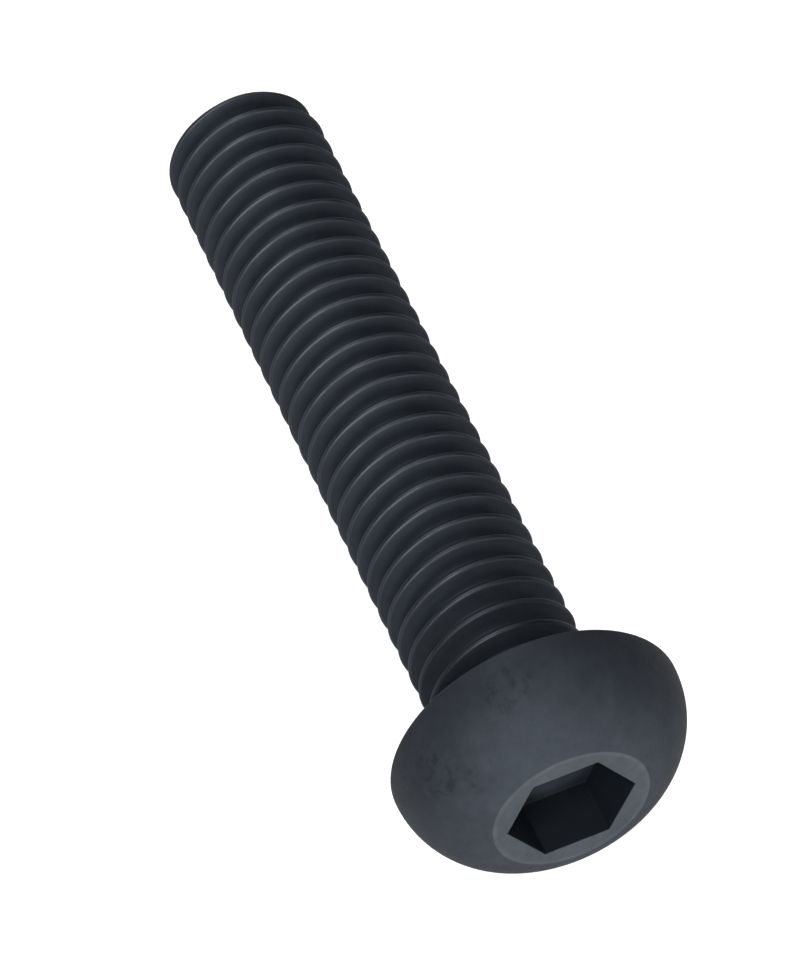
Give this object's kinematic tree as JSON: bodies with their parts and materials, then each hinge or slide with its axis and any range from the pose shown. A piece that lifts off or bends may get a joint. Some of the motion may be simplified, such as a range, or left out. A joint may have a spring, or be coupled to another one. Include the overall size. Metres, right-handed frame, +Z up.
{
  "type": "button head screw",
  "caption": "Fully threaded button head socket screw in black oxide steel: low domed head with a hexagon socket, helical metric thread and rounded tip.",
  "frame": {"origin": "centre of the bounding box's base, on the surface that the screw lies on", "axes": "+X along the screw's length, level, from tip to head; +Z up. The screw's own axis rises 4.5 degrees above +X towards the head, because it rests on the head's rim and the thread's last crest"},
  "size_m": [0.0336, 0.0104, 0.0105],
  "materials": {
    "black_oxide_steel": "satin black oxide"
  },
  "bodies": {
    "root": {"screw": "black_oxide_steel"}
  },
  "joints": []
}
